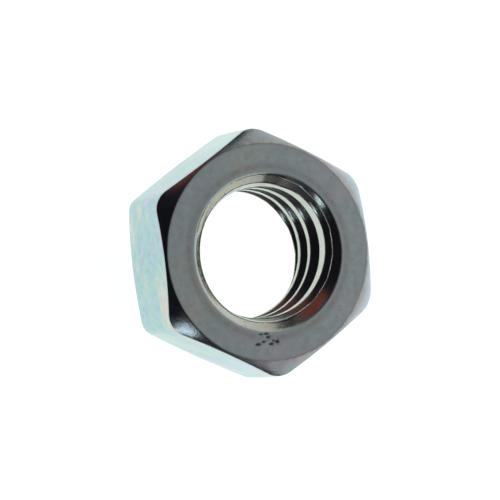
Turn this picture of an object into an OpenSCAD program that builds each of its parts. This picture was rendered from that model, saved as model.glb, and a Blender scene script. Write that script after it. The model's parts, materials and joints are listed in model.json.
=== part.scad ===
// Thin hexagon nut, chamfered and countersunk on both faces, with a right-hand metric thread.
// It lies flat on its lower bearing face: the thread's axis is +Z and the origin is the centre of
// that face. Two of the six flats face along X, and two of the corners point along Y.

/* [Hexagon] */
// Width across the flats, which is the spanner size
across_flats = 14; // [13:0.1:24]
// Height of the nut from face to face
nut_height = 6; // [4:0.1:16]
// Radius that rounds off each of the six upright corners
corner_radius = 0.95; // [0.1:0.05:2]

/* [Chamfers] */
// Angle of the corner chamfers, up from the plane of the bearing face
chamfer_angle = 30; // [15:1:40]
// How far the rim of each bearing ring stays inside the flats
bearing_inset = 0.16; // [0.02:0.02:0.4]

/* [Thread] */
// Nominal diameter of the thread, at the root of its groove
thread_d = 10; // [5:0.1:12]
// Pitch of the thread
pitch = 1.5; // [0.8:0.05:2]
// Direction in which the groove crosses the plane of the lower face
thread_start = 158; // [0:1:359]

/* [Countersinks] */
// How much wider than the thread each countersink opens on its bearing face
countersink_allowance = 0; // [0:0.05:0.5]
// Full angle of the countersinks
countersink_angle = 90; // [75:5:120]

/* [Hidden] */
$fn = 120;

zinc_plate = "#9ea3a8";
overshoot = 0.2; // how far a cutting shape runs past the surface that it cuts

// The rounded corners are arcs tangent to the two flats beside them
corner_reach = (across_flats / 2 - corner_radius) / cos(30);
arc_steps = 10;

bearing_r = across_flats / 2 - bearing_inset;
chamfer_run = across_flats / 2 / cos(30) - bearing_r + overshoot;
chamfer_drop = chamfer_run * tan(chamfer_angle);

// Basic profile of an ISO metric internal thread: 60 degrees between the flanks, with a crest a
// quarter of the pitch wide at the bore and a root an eighth of the pitch wide
minor_d = thread_d - 1.0825 * pitch;
root_width = pitch / 8;
groove_mouth = pitch * 3 / 4;
mouth_overlap = pitch / 10; // how far the groove's cutter reaches inside the bore
cutter_r = minor_d / 2 - mouth_overlap;
cutter_mouth = groove_mouth + 2 * mouth_overlap * tan(30);
steps_per_turn = 36;
lead_in = 1; // whole turns of the cutter before the lower face, and as many after the upper one
steps = ceil((nut_height / pitch + 2 * lead_in) * steps_per_turn);

// The bore's turning starts between two sections of the groove, so no edges of the two coincide
bore_start = thread_start + 180 / steps_per_turn;
countersink_slope = tan(countersink_angle / 2);
countersink_r = (thread_d + countersink_allowance) / 2;
countersink_depth = (countersink_r - minor_d / 2) / countersink_slope;

// Section of the groove's cutter, as distances out from the axis and up from its own middle
groove_section = [
    [cutter_r, -cutter_mouth / 2],
    [thread_d / 2, -root_width / 2],
    [thread_d / 2, root_width / 2],
    [cutter_r, cutter_mouth / 2]
];
sides = len(groove_section);

// That section at one step of the helix, which climbs anticlockwise seen from above
function section_at(step) =
    let (
        turns = step / steps_per_turn - lead_in,
        angle = thread_start + 360 * turns
    )
    [
        for (point = groove_section)
        [point[0] * cos(angle), point[0] * sin(angle), pitch * turns + point[1]]
    ];

// The two triangles of skin between one side of a section and the same side of the next
function skin_patch(step, side) =
    let (here = sides * step + side, beside = sides * step + (side + 1) % sides)
    [[here, beside, beside + sides], [here, beside + sides, here + sides]];

module groove_cutter() {
    points = [for (step = [0 : steps]) each section_at(step)];
    first_end = [for (side = [sides - 1 : -1 : 0]) side];
    last_end = [for (side = [0 : sides - 1]) sides * steps + side];
    skin = [for (step = [0 : steps - 1], side = [0 : sides - 1]) each skin_patch(step, side)];
    polyhedron(points = points, faces = concat([first_end, last_end], skin));
}

// Tapping bore with a countersink at each end
module bore_space() {
    mouth_r = countersink_r + overshoot * countersink_slope;
    rotate_extrude() polygon([
        [0, -overshoot],
        [mouth_r, -overshoot],
        [minor_d / 2, countersink_depth],
        [minor_d / 2, nut_height - countersink_depth],
        [mouth_r, nut_height + overshoot],
        [0, nut_height + overshoot]
    ]);
}

// A point at an angle round the arc that ends one corner of the hexagon
function arc_point(corner, angle) = [
    corner_reach * cos(corner) + corner_radius * cos(angle),
    corner_reach * sin(corner) + corner_radius * sin(angle)
];

module rounded_hexagon() polygon([
    for (corner = [30 : 60 : 330], step = [0 : arc_steps])
    arc_point(corner, corner - 30 + 60 * step / arc_steps)
]);

// A turned disc whose two rims carry the corner chamfers
module chamfered_disc() {
    rim_r = bearing_r + chamfer_run;
    rotate_extrude() polygon([
        [0, 0],
        [bearing_r, 0],
        [rim_r, chamfer_drop],
        [rim_r, nut_height - chamfer_drop],
        [bearing_r, nut_height],
        [0, nut_height]
    ]);
}

module hex_nut() color(zinc_plate) difference() {
    intersection() {
        linear_extrude(nut_height) rounded_hexagon();
        chamfered_disc();
    }
    rotate(bore_start) bore_space();
    groove_cutter();
}

hex_nut();
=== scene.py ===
import json
import math

import bpy
import numpy as np
from mathutils import Matrix, Vector


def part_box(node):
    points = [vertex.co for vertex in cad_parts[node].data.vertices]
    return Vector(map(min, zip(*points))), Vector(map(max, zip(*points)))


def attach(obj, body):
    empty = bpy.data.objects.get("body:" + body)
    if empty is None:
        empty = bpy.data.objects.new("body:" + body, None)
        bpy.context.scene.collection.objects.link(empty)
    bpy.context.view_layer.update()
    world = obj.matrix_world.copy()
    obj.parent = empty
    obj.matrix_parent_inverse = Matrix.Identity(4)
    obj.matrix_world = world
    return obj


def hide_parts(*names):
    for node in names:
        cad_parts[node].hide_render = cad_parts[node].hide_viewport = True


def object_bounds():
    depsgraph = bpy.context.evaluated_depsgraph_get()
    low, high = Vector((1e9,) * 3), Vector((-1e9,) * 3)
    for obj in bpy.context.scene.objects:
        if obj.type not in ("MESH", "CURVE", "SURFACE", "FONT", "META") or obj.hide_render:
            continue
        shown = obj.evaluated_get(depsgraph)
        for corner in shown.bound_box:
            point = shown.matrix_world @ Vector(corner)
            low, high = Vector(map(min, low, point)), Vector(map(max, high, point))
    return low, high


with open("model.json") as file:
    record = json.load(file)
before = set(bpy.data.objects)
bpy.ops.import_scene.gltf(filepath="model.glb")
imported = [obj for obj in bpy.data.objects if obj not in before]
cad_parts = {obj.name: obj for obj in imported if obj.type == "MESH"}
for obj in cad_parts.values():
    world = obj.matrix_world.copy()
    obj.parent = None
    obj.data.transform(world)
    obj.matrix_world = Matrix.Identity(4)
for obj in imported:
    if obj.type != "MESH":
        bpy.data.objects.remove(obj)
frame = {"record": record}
cadLow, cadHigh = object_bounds()
mm = 0.001
print("frame loaded, box in mm:", [round(v / mm, 2) for v in (cadHigh - cadLow)])


def linear(hexColour):  # sRGB hex to the linear values that the shaders want
    parts = [int(hexColour[i:i + 2], 16) / 255 for i in (1, 3, 5)]
    return [c / 12.92 if c <= 0.04045 else ((c + 0.055) / 1.055) ** 2.4 for c in parts] + [1.0]


def addNode(tree, kind, settings=None, stops=None, **links):
    # settings are node properties, links are socket values or (node, output) pairs to join
    node = tree.nodes.new(kind)
    for name, value in (settings or {}).items():
        setattr(node, name, value)
    if stops:
        ramp = node.color_ramp.elements
        ramp[0].position, ramp[0].color = stops[0]
        ramp[1].position, ramp[1].color = stops[-1]
        for position, colour in stops[1:-1]:
            ramp.new(position).color = colour
    for name, value in links.items():
        key = int(name[1:]) if name[1:].isdigit() else name.replace("_", " ")
        if isinstance(value, tuple) and isinstance(value[0], bpy.types.Node):
            tree.links.new(value[0].outputs[value[1]], node.inputs[key])
        else:
            node.inputs[key].default_value = value
    return node


# camera: looks down on the upper face from the left, a little turned about its own axis
cameraSettings = {
    "position": (-52.558, -0.504, 124.651),  # mm
    "right": (0.91185, -0.11770, 0.39328),   # which way the camera's own axes point
    "up": (0.10573, 0.99303, 0.05203),
    "back": (-0.39667, -0.00586, 0.91794),
    "lens": 149.4,                           # mm, as is the sensor
    "sensor": 36.0,
}


def makeCamera(settings):
    data = bpy.data.cameras.new("camera")
    data.lens = settings["lens"]
    data.sensor_width = settings["sensor"]
    camera = bpy.data.objects.new("camera", data)
    bpy.context.scene.collection.objects.link(camera)
    turned = Matrix((settings["right"], settings["up"], settings["back"])).transposed()
    camera.matrix_world = Matrix.Translation(Vector(settings["position"]) * mm) @ turned.to_4x4()
    bpy.context.scene.camera = camera
    print("camera placed")


# the nut's own shape, in mm and degrees
nutShape = {
    "cornerRadius": 0.95,
    "upperCornerRadius": 1.6,  # forging leaves the corners less filled towards the upper face
    "chamferAngle": 30.0,
    "bearingInset": 0.16,
    "pitch": 1.5,
    "threadRadius": 5.0,
    "crestWidth": 0.50,
    "rootWidth": 0.06,
    "grooveTurn": 158.0,      # direction in which the groove crosses the lower face
    "mouthRadius": 5.0,       # of the upper countersink, where it opens on the face
    "lowerMouthRadius": 4.8,
    "countersinkAngle": 110.0,
    # the piercing leaves a slight taper under the upper countersink, longest on the right
    "mouthTaper": (4.75, 0.36),  # height where it starts, radius gained per mm
    "rightTaper": (3.1, 0.17),
    "outOfRound": (-40, 0.15),  # direction in which the bore is tighter, and by how much
    "threadSoftness": 0.05,   # rounding of the edges in the bore
    "ridgeSoftness": 0.02,
    # painted shade in the bore: a dark line on the ridge between countersink and thread, and over the
    # thread's start
    "ridgeShadeLine": {"depth": 0.55, "halfHeight": 0.35, "width": 0.10, "strength": 0.6},
    "threadStartShade": {"from": 66, "to": 86, "above": 5.3, "strength": 0.75},
    # browned plating: width of each line and how strong it is
    "browned": {"cornerWidth": 0.04, "corner": 0.7, "bearingWidth": 0.10, "bearing": 0.55,
                "ringOut": 0.38, "ringWidth": 0.22, "ring": 0.4},
    "mouthEdge": 0.16,        # easing of the outer edges
    "bearingEdge": 0.10,
    "cornerEdge": 0.14,
    # how finely the mesh is divided
    "rows": {"wall": 122, "upperFace": 24, "lowerFace": 8, "side": 6},
    "columns": {"flat": 56, "corner": 16},
    # x, y, half length and half width of each small dent in the upper face
    "nicks": [(-1.23, -5.04, 0.17, 0.05), (-0.90, -5.05, 0.15, 0.06), (-0.80, -5.28, 0.13, 0.07),
              (-1.52, -5.65, 0.19, 0.09), (-1.13, -5.53, 0.12, 0.07), (-0.62, -5.72, 0.17, 0.09),
              (-0.44, -5.53, 0.10, 0.06), (-0.22, -5.62, 0.13, 0.10)],
    "nickDepth": 0.03,
}


def softMax(a, b, width):
    share = np.clip(0.5 + 0.5 * (a - b) / width, 0, 1)
    return b * (1 - share) + a * share + width * share * (1 - share)


def outlineAngles(acrossFlats, cornerRadius, columns):
    # columns fall exactly where the flats meet their corner arcs
    reach = (acrossFlats / 2 - cornerRadius) / math.cos(math.pi / 6)
    tangent = math.atan(reach / 2 / (acrossFlats / 2))
    flat = np.linspace(-tangent, tangent, columns["flat"] + 1)[:-1]
    arc = np.linspace(tangent, math.pi / 3 - tangent, columns["corner"] + 1)[:-1]
    sector = np.concatenate([flat, arc])
    return np.concatenate([sector + i * math.pi / 3 for i in range(6)])


def outlineRadius(angles, acrossFlats, cornerRadius):
    reach = (acrossFlats / 2 - cornerRadius) / math.cos(math.pi / 6)
    tangent = math.atan(reach / 2 / (acrossFlats / 2))
    turn = np.mod(angles + math.pi / 6, math.pi / 3) - math.pi / 6
    flat = acrossFlats / 2 / np.cos(turn)
    fromCorner = math.pi / 6 - np.abs(turn)
    beyond = np.maximum(cornerRadius ** 2 - (reach * np.sin(fromCorner)) ** 2, 0)
    arc = reach * np.cos(fromCorner) + np.sqrt(beyond)
    return np.where(np.abs(turn) <= tangent + 1e-9, flat, arc)


def threadWall(angles, heights, height, minorRadius, shape):
    # radius of the bore's wall: whatever the drill, the countersinks or the tap took furthest out
    angle, z = np.meshgrid(angles, heights)
    climb = shape["pitch"] * (angle - math.radians(shape["grooveTurn"])) / (2 * math.pi)
    fromGroove = np.abs(np.mod(z - climb + shape["pitch"] / 2, shape["pitch"]) - shape["pitch"] / 2)
    mouth = shape["pitch"] - shape["crestWidth"]
    slope = (shape["threadRadius"] - minorRadius) / ((mouth - shape["rootWidth"]) / 2)
    groove = shape["threadRadius"] - slope * np.maximum(fromGroove - shape["rootWidth"] / 2, 0)
    fromFace = np.minimum(z, height - z)
    mouthRadius = np.where(z > height / 2, shape["mouthRadius"], shape["lowerMouthRadius"])
    cone = mouthRadius - fromFace * math.tan(math.radians(shape["countersinkAngle"] / 2))
    mouthTaper = (z - shape["mouthTaper"][0]) * shape["mouthTaper"][1]
    rightTaper = (z - shape["rightTaper"][0]) * shape["rightTaper"][1] * np.maximum(np.cos(angle), 0)
    tightTurn, tightness = shape["outOfRound"]
    tighter = tightness * np.maximum(np.cos(angle - math.radians(tightTurn)), 0)
    flare = minorRadius - tighter + np.maximum(np.maximum(mouthTaper, rightTaper), 0)
    wall = softMax(flare, cone, shape["threadSoftness"])
    softness = np.where(cone > flare, shape["ridgeSoftness"], shape["threadSoftness"])
    # painted shade: a dark line along the ridge where the countersink meets the thread
    ridgeShadeSettings = shape["ridgeShadeLine"]
    nearRidge = abs(z - height + ridgeShadeSettings["depth"]) < ridgeShadeSettings["halfHeight"]
    ridgeShade = np.exp(-((cone - groove) / ridgeShadeSettings["width"]) ** 2) * (cone > flare) * nearRidge
    return softMax(wall, groove, softness), ridgeShade


def roundedLine(corners, edges, steps):
    # corners are (radius, height) pairs of arrays; every inner one is eased by a curve
    line = [corners[0]]
    for before, corner, after, edge, count in zip(corners, corners[1:], corners[2:], edges, steps):
        inward, outward = before - corner, after - corner
        back, ahead = np.linalg.norm(inward, axis=0), np.linalg.norm(outward, axis=0)
        reach = np.minimum(edge, 0.48 * np.minimum(back, ahead))
        start = corner + inward / back * reach
        end = corner + outward / ahead * reach
        for t in np.linspace(0, 1, count + 1):
            line.append((1 - t) ** 2 * start + 2 * t * (1 - t) * corner + t ** 2 * end)
    return line + [corners[-1]]


def subdivided(start, end, count):
    return [start + (end - start) * t for t in np.linspace(0, 1, count + 1)[1:-1]]


def outsideHalf(wallEdge, mouthRadius, rim, middle, joinDepth, faceRows, height, bearing, shape):
    # from the end of the bore's wall over the bearing face and the chamfer to the middle of the side
    flat = np.ones_like(rim)
    drop = (rim - bearing) * math.tan(math.radians(shape["chamferAngle"]))
    mouth = np.array([flat * mouthRadius, flat * height])
    mouthStart = mouth + np.array([0.6, 0.0]).reshape(2, 1) * shape["mouthEdge"]
    start = np.array([wallEdge, flat * (height - joinDepth)])
    lines = [(1 - t) ** 2 * start + 2 * t * (1 - t) * mouth + t ** 2 * mouthStart
             for t in np.linspace(0, 1, 6)[1:]]
    bearingCircle, corner = np.array([flat * bearing, flat * height]), np.array([rim, height - drop])
    tail = roundedLine([mouthStart, bearingCircle, corner, middle],
                       [shape["bearingEdge"] * 0.5, shape["cornerEdge"] * 0.5], [4, 5])
    lines += subdivided(mouthStart, tail[1], faceRows) + tail[1:-1]
    return lines + subdivided(tail[-2], middle, shape["rows"]["side"])


def makeNut(shape):
    low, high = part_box("hex_nut")
    height = (high.z - low.z) / mm
    acrossFlats = (high.x - low.x) / mm
    minorRadius = next(m for m in frame["record"]["mounts"] if m["name"] == "thread")["dims"]["r_mm"]
    angles = outlineAngles(acrossFlats, shape["cornerRadius"], shape["columns"])
    rim = outlineRadius(angles, acrossFlats, shape["cornerRadius"])
    upperRim = outlineRadius(angles, acrossFlats, shape["upperCornerRadius"])
    bearing = acrossFlats / 2 - shape["bearingInset"]
    flat = np.ones_like(angles)
    middle = np.array([rim, flat * height / 2])
    joinDepth = 0.3 * shape["mouthEdge"]
    wallHeights = np.linspace(joinDepth, height - joinDepth, shape["rows"]["wall"])
    wall, ridgeShade = threadWall(angles, wallHeights, height, minorRadius, shape)
    upper = outsideHalf(wall[-1], shape["mouthRadius"], upperRim, middle, joinDepth,
                        shape["rows"]["upperFace"], height, bearing, shape)
    lower = outsideHalf(wall[0], shape["lowerMouthRadius"], rim, middle, joinDepth,
                        shape["rows"]["lowerFace"], height, bearing, shape)
    rows = [np.array([w, flat * z]) for w, z in zip(wall, wallHeights)]
    rows += upper + [middle]
    rows += [np.array([r, height - z]) for r, z in reversed(lower)]
    rows = np.array(rows)                       # row, (radius, height), column
    radius, z = rows[:, 0, :], rows[:, 1, :].copy()
    x, y = radius * np.cos(angles), radius * np.sin(angles)

    # small dents on the upper face
    darkMarkAndShade = np.zeros_like(z)
    for nickX, nickY, halfLength, halfWidth in shape["nicks"]:
        away = ((x - nickX) / halfLength) ** 2 + ((y - nickY) / halfWidth) ** 2
        darkMarkAndShade = np.maximum(darkMarkAndShade, np.minimum(1.5 * np.exp(-away * 1.2), 1) * (z > height - 0.02))
    z -= shape["nickDepth"] * darkMarkAndShade

    # painted shade: the ridge between countersink and thread is darkened to damp its bright line, and the
    # start of the thread as if shaded by the burr
    start, turn = shape["threadStartShade"], np.degrees(angles)
    threadStartShade = np.clip((start["to"] - turn) / 3, 0, 1) * np.clip((turn - start["from"]) / 6, 0, 1)
    threadStartShade = threadStartShade * (wallHeights[:, None] > start["above"])
    darkMarkAndShade[:len(wall)] = np.maximum(ridgeShade * shape["ridgeShadeLine"]["strength"], threadStartShade * start["strength"])

    # where the plating has browned: a thin line on the corners, wider ones round the rims of each face
    fromEnd = np.minimum(z, height - z)
    onUpper = z > height / 2
    rimHere = np.where(onUpper, upperRim, rim)
    dropHere = (rimHere - bearing) * math.tan(math.radians(shape["chamferAngle"]))
    browned = shape["browned"]
    fromCorner = (radius - rimHere) ** 2 + (fromEnd - dropHere) ** 2
    cornerLine = np.exp(-fromCorner / browned["cornerWidth"] ** 2)
    bearingLine = np.exp(-((radius - bearing) / browned["bearingWidth"]) ** 2) * (fromEnd < 0.2)
    fromRing = radius - shape["mouthRadius"] - browned["ringOut"]
    mouthRing = np.exp(-(fromRing / browned["ringWidth"]) ** 2) * (fromEnd < 0.05)
    brown = np.maximum(cornerLine * browned["corner"], bearingLine * browned["bearing"])
    brown = np.maximum(brown, mouthRing * browned["ring"])
    inside = (np.arange(len(rows)) < len(wallHeights))[:, None] * np.ones_like(z)
    filmShare = np.clip((fromEnd - dropHere) / 0.1, 0.3, 1) * (1 - inside)  # full on the flats only

    points = np.stack([x, y, z], axis=2).reshape(-1, 3) * mm
    rowCount, columnCount = radius.shape
    row, column = np.meshgrid(np.arange(rowCount), np.arange(columnCount), indexing="ij")
    nextRow, nextColumn = (row + 1) % rowCount, (column + 1) % columnCount
    here, ahead = row * columnCount, nextRow * columnCount
    quads = np.stack([here + column, here + nextColumn, ahead + nextColumn, ahead + column], axis=2)
    quads = quads.reshape(-1, 4)
    mesh = bpy.data.meshes.new("nut")
    mesh.from_pydata(points.tolist(), [], quads[:, ::-1].tolist())
    mesh.polygons.foreach_set("use_smooth", [True] * len(mesh.polygons))
    # red: browned, green: dented, or painted shade on the bore's ridge and thread start, blue: inside the
    # bore, alpha: how much of the film shows
    wear = mesh.color_attributes.new("wear", "FLOAT_COLOR", "POINT")
    wear.data.foreach_set("color", np.stack([brown, darkMarkAndShade, inside, filmShare], axis=2).ravel())
    mesh.update()
    nut = bpy.data.objects.new("nut", mesh)
    bpy.context.scene.collection.objects.link(nut)
    print("nut made:", len(mesh.vertices), "vertices,", len(mesh.polygons), "faces")
    return nut


# bright zinc plate with a clear blue passivate, barrel plated over forged steel. A pale metal that
# mirrors its surroundings with a little haze; its film drifts between aqua, lilac, rose and cream
zincPlate = {
    "film": ["#e2ced6", "#ccd0de", "#b5ced9", "#afd3d4", "#b8d8d0", "#d2dccc", "#e5d2cc"],
    "filmSize": 3.8,          # mm, as are the other sizes
    "filmStretch": 1.8,       # how much longer the film's bands are than high
    "fineFilmSize": 0.33,
    "fineFilmShare": 0.16,
    "filmShare": (0.12, 0.85),  # how far the film's colours show, in the bore and on the flats
    "faceTint": "#c4d0da",    # on the pressed faces the film is thinner and greyer
    "boreTint": "#c9ccc3",
    "edgeTint": "#e6f0ee",    # at grazing angles
    "gloss": (0.09, 0.17),    # roughness, between patches
    "patchSize": 0.5,
    "mottle": (0.9, 1.06),    # darkest and lightest patch
    "brown": "#8a6f64",
    "brownPatches": (0.38, 0.6),
    # dark colour for specks and nicks, also used for the painted shade in the bore
    "darkMarkAndShade": "#33302f",
    "speckSize": 0.12,
    "speckCut": (0.785, 0.845),  # higher leaves fewer specks
    "speckStrength": 0.6,
    "brushLength": 0.9,       # marks run round the flats
    "brushWidth": 0.06,       # real ones are about 0.01 mm, drawn coarser so that they show
    "grainSize": 0.10,        # crystals of the plate are far finer, drawn coarser so that they show
    "forgingSize": 2.4,
    "forgingHeight": 14.0,    # this and the next two in micrometres
    "brushHeight": 2.4,
    "grainHeight": 3.0,
}


def makeZincPlate(settings):
    material = bpy.data.materials.new("brightZincPlate")
    material.use_nodes = True
    tree = material.node_tree
    tree.nodes.clear()
    place = addNode(tree, "ShaderNodeTexCoord")
    wear = addNode(tree, "ShaderNodeAttribute", {"attribute_name": "wear"})
    masks = addNode(tree, "ShaderNodeSeparateColor", Color=(wear, "Color"))

    # the passivate film, in bands that lie along the flats
    banded = addNode(tree, "ShaderNodeVectorMath", {"operation": "MULTIPLY"}, _0=(place, "Object"),
                     _1=(1, 1, settings["filmStretch"]))
    film = addNode(tree, "ShaderNodeTexNoise", Vector=(banded, "Vector"), Scale=1000 / settings["filmSize"],
                   Detail=2.0, Distortion=0.4)
    fineFilm = addNode(tree, "ShaderNodeTexNoise", Vector=(place, "Object"),
                       Scale=1000 / settings["fineFilmSize"], Detail=2.0)
    thickness = addNode(tree, "ShaderNodeMixRGB", Fac=settings["fineFilmShare"], Color1=(film, "Fac"),
                        Color2=(fineFilm, "Fac"))
    spread = addNode(tree, "ShaderNodeMapRange", Value=(thickness, "Color"), From_Min=0.3, From_Max=0.7)
    count = len(settings["film"]) - 1
    filmStops = [(i / count, linear(c)) for i, c in enumerate(settings["film"])]
    tone = addNode(tree, "ShaderNodeValToRGB", stops=filmStops, Fac=(spread, "Result"))
    plain = addNode(tree, "ShaderNodeMixRGB", Fac=(masks, "Blue"), Color1=linear(settings["faceTint"]),
                    Color2=linear(settings["boreTint"]))
    filmShare = addNode(tree, "ShaderNodeMapRange", Value=(wear, "Alpha"), To_Min=settings["filmShare"][0],
                        To_Max=settings["filmShare"][1])
    colour = addNode(tree, "ShaderNodeMixRGB", Fac=(filmShare, "Result"), Color1=(plain, "Color"),
                     Color2=(tone, "Color"))

    # browned rims, dark specks, the nicks, and the painted shade on the bore's ridge and thread start
    patchy = addNode(tree, "ShaderNodeTexNoise", Vector=(place, "Object"), Scale=1000 / settings["patchSize"],
                     Detail=3.0)
    mottle = addNode(tree, "ShaderNodeMapRange", Value=(patchy, "Fac"), From_Min=0.3, From_Max=0.7,
                     To_Min=settings["mottle"][0], To_Max=settings["mottle"][1])
    mottled = addNode(tree, "ShaderNodeVectorMath", {"operation": "SCALE"}, _0=(colour, "Color"),
                      Scale=(mottle, "Result"))
    patches = addNode(tree, "ShaderNodeMapRange", Value=(patchy, "Fac"), To_Min=0.25,
                      From_Min=settings["brownPatches"][0], From_Max=settings["brownPatches"][1])
    browned = addNode(tree, "ShaderNodeMath", {"operation": "MULTIPLY", "use_clamp": True},
                      _0=(masks, "Red"), _1=(patches, "Result"))
    colour = addNode(tree, "ShaderNodeMixRGB", Fac=(browned, "Value"), Color1=(mottled, "Vector"),
                     Color2=linear(settings["brown"]))
    speckle = addNode(tree, "ShaderNodeTexNoise", Vector=(place, "Object"),
                      Scale=1000 / settings["speckSize"], Detail=0.0)
    specks = addNode(tree, "ShaderNodeMapRange", Value=(speckle, "Fac"), To_Max=settings["speckStrength"],
                     From_Min=settings["speckCut"][0], From_Max=settings["speckCut"][1])
    # dark specks, nicks and the painted shade in the bore, as one mask
    specksNicksAndShade = addNode(tree, "ShaderNodeMath", {"operation": "MAXIMUM"}, _0=(specks, "Result"),
                    _1=(masks, "Green"))
    colour = addNode(tree, "ShaderNodeMixRGB", Fac=(specksNicksAndShade, "Value"), Color1=(colour, "Color"),
                     Color2=linear(settings["darkMarkAndShade"]))

    # relief in micrometres: soft forging waves, brushed lines round the flats, fine grain
    waves = addNode(tree, "ShaderNodeTexNoise", Vector=(place, "Object"),
                    Scale=1000 / settings["forgingSize"], Detail=2.0)
    alongBrush, acrossBrush = 1000 / settings["brushLength"], 1000 / settings["brushWidth"]
    lined = addNode(tree, "ShaderNodeVectorMath", {"operation": "MULTIPLY"}, _0=(place, "Object"),
                    _1=(alongBrush, alongBrush, acrossBrush))
    brush = addNode(tree, "ShaderNodeTexNoise", Vector=(lined, "Vector"), Scale=1.0, Detail=2.0)
    grain = addNode(tree, "ShaderNodeTexNoise", Vector=(place, "Object"),
                    Scale=1000 / settings["grainSize"], Detail=2.0)
    relief = addNode(tree, "ShaderNodeMath", {"operation": "MULTIPLY"}, _0=(waves, "Fac"),
                     _1=settings["forgingHeight"])
    relief = addNode(tree, "ShaderNodeMath", {"operation": "MULTIPLY_ADD"}, _0=(brush, "Fac"),
                     _1=settings["brushHeight"], _2=(relief, "Value"))
    relief = addNode(tree, "ShaderNodeMath", {"operation": "MULTIPLY_ADD"}, _0=(grain, "Fac"),
                     _1=settings["grainHeight"], _2=(relief, "Value"))
    bump = addNode(tree, "ShaderNodeBump", Height=(relief, "Value"), Distance=1e-6, Strength=1.0)
    gloss = addNode(tree, "ShaderNodeMapRange", Value=(patchy, "Fac"), From_Min=0.3, From_Max=0.7,
                    To_Min=settings["gloss"][0], To_Max=settings["gloss"][1])
    shader = addNode(tree, "ShaderNodeBsdfPrincipled", Base_Color=(colour, "Color"), Metallic=1.0,
                     Specular_Tint=linear(settings["edgeTint"]), Roughness=(gloss, "Result"),
                     Normal=(bump, "Normal"))
    addNode(tree, "ShaderNodeOutputMaterial", Surface=(shader, "BSDF"))
    print("zinc plate made:", len(tree.nodes), "nodes")
    return material


# studio: a glowing white table under a dark room, with a grey wall to the right
studio = {
    "floorColour": "#f4f4f4",
    "floorGlow": 0.9,
    "floorSize": 3.0,         # metres
    "hazeBottom": 3.5,        # degrees above the table where the white surround fades out
    "hazeTop": 8.5,
    # colour of the wall by how far it lies to the right, from -1 to 1
    "wallFromLeft": [(-0.5, "#1d1c22"), (-0.3, "#2e2d34"), (0.0, "#535157"), (0.133, "#706d70"),
                     (0.226, "#989492"), (0.307, "#b8b3af"), (0.40, "#c2bdb9"), (0.54, "#d2cec7"),
                     (0.755, "#e4dfd6"), (1.0, "#e2dfd4")],
    "ceilingDim": 0.6,        # what is left of the wall's light straight overhead
    "ceilingSpan": (0.45, 0.95),  # sines of the heights between which it dims
}

# cards: direction round the axis, height, half angle, soft edge (all degrees), colour
cards = {
    "leftDoorway": (-82, 8, 20, 1.5, "#26262a"),
    "rightDoorway": (82, 8, 20, 1.5, "#26262a"),
    "brownCard": (106, 27, 16, 5, "#74403a"),
}

# lamps: direction and height in degrees, distance and size in metres
lamps = {
    "tallStrip": {"turn": -132, "height": 27, "distance": 0.35, "size": (0.022, 0.16), "watts": 0.028,
                  "colour": "#dff3f8"},
    "lowStrip": {"turn": -125, "height": 43, "distance": 0.35, "size": (0.055, 0.04), "watts": 0.011,
                 "colour": "#dff0fa"},
    "shortStrip": {"turn": -107, "height": 15, "distance": 0.35, "size": (0.018, 0.06), "watts": 0.010,
                   "colour": "#cdf4f6"},
}


def towards(turn, height):
    turn, height = math.radians(turn), math.radians(height)
    return Vector((math.cos(turn) * math.cos(height), math.sin(turn) * math.cos(height), math.sin(height)))


def makeFloor(settings):
    half = settings["floorSize"] / 2
    mesh = bpy.data.meshes.new("floor")
    corners = [(-half, -half, 0), (half, -half, 0), (half, half, 0), (-half, half, 0)]
    mesh.from_pydata(corners, [], [(0, 1, 2, 3)])
    floor = bpy.data.objects.new("floor", mesh)
    floor.location.z = cadLow.z
    bpy.context.scene.collection.objects.link(floor)
    material = bpy.data.materials.new("whiteAcrylic")  # opal sheet lit from below: soft white, no glare
    material.use_nodes = True
    tree = material.node_tree
    tree.nodes.clear()
    shader = addNode(tree, "ShaderNodeBsdfPrincipled", Base_Color=linear(settings["floorColour"]),
                     Roughness=0.6, Emission_Color=(1, 1, 1, 1), Emission_Strength=settings["floorGlow"])
    addNode(tree, "ShaderNodeOutputMaterial", Surface=(shader, "BSDF"))
    mesh.materials.append(material)
    print("floor made")


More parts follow.
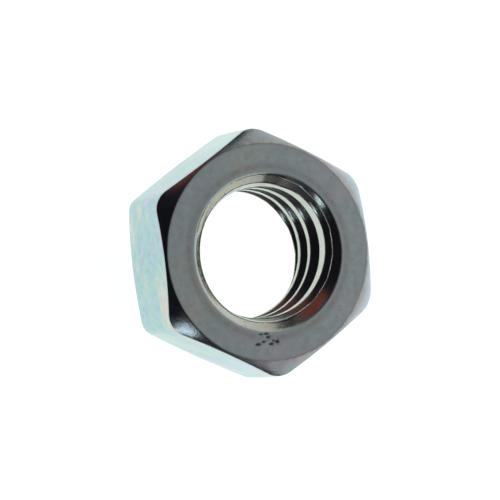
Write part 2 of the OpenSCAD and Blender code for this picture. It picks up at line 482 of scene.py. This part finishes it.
def makeWorld(settings, cards):
    world = bpy.data.worlds.new("studio")
    bpy.context.scene.world = world
    world.use_nodes = True
    tree = world.node_tree
    tree.nodes.clear()
    place = addNode(tree, "ShaderNodeTexCoord")
    axes = addNode(tree, "ShaderNodeSeparateXYZ", Vector=(place, "Generated"))
    across = addNode(tree, "ShaderNodeMapRange", Value=(axes, "X"), From_Min=-1.0, From_Max=1.0)
    walls = addNode(tree, "ShaderNodeValToRGB", Fac=(across, "Result"),
                    stops=[((x + 1) / 2, linear(colour)) for x, colour in settings["wallFromLeft"]])
    ceiling = addNode(tree, "ShaderNodeMapRange", Value=(axes, "Z"), From_Min=settings["ceilingSpan"][0],
                      From_Max=settings["ceilingSpan"][1], To_Min=1.0, To_Max=settings["ceilingDim"])
    dimmed = addNode(tree, "ShaderNodeVectorMath", {"operation": "SCALE"}, _0=(walls, "Color"),
                     Scale=(ceiling, "Result"))
    source = (dimmed, "Vector")
    for turn, height, halfAngle, soft, colour in cards.values():
        facing = addNode(tree, "ShaderNodeVectorMath", {"operation": "DOT_PRODUCT"}, _0=(place, "Generated"),
                         _1=towards(turn, height))
        mask = addNode(tree, "ShaderNodeMapRange", {"interpolation_type": "SMOOTHSTEP"},
                       Value=(facing, "Value"),
                       From_Min=math.cos(math.radians(halfAngle + soft)),
                       From_Max=math.cos(math.radians(halfAngle - soft)))
        mixed = addNode(tree, "ShaderNodeMixRGB", Fac=(mask, "Result"), Color1=source,
                        Color2=linear(colour))
        source = (mixed, "Color")
    haze = addNode(tree, "ShaderNodeMapRange", {"interpolation_type": "SMOOTHSTEP"}, Value=(axes, "Z"),
                   From_Min=math.sin(math.radians(settings["hazeBottom"])),
                   From_Max=math.sin(math.radians(settings["hazeTop"])))
    mixed = addNode(tree, "ShaderNodeMixRGB", Fac=(haze, "Result"), Color1=(1, 1, 1, 1), Color2=source)
    background = addNode(tree, "ShaderNodeBackground", Color=(mixed, "Color"), Strength=1.0)
    addNode(tree, "ShaderNodeOutputWorld", Surface=(background, "Background"))
    print("surroundings made:", len(cards), "cards")


def makeLamps(lamps):
    for name, settings in lamps.items():
        data = bpy.data.lights.new(name, "AREA")
        data.shape = "RECTANGLE"
        data.size, data.size_y = settings["size"]
        data.energy = settings["watts"]
        data.color = linear(settings["colour"])[:3]
        lamp = bpy.data.objects.new(name, data)
        direction = towards(settings["turn"], settings["height"])
        lamp.location = (cadLow + cadHigh) / 2 + direction * settings["distance"]
        lamp.rotation_euler = direction.to_track_quat("Z", "Y").to_euler()
        bpy.context.scene.collection.objects.link(lamp)
    print("lamps made:", len(lamps))


bpy.context.scene.view_settings.view_transform = "Standard"
makeCamera(cameraSettings)
nut = makeNut(nutShape)
nut.data.materials.append(makeZincPlate(zincPlate))
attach(nut, "root")
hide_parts("hex_nut")
makeFloor(studio)
makeWorld(studio, cards)
makeLamps(lamps)
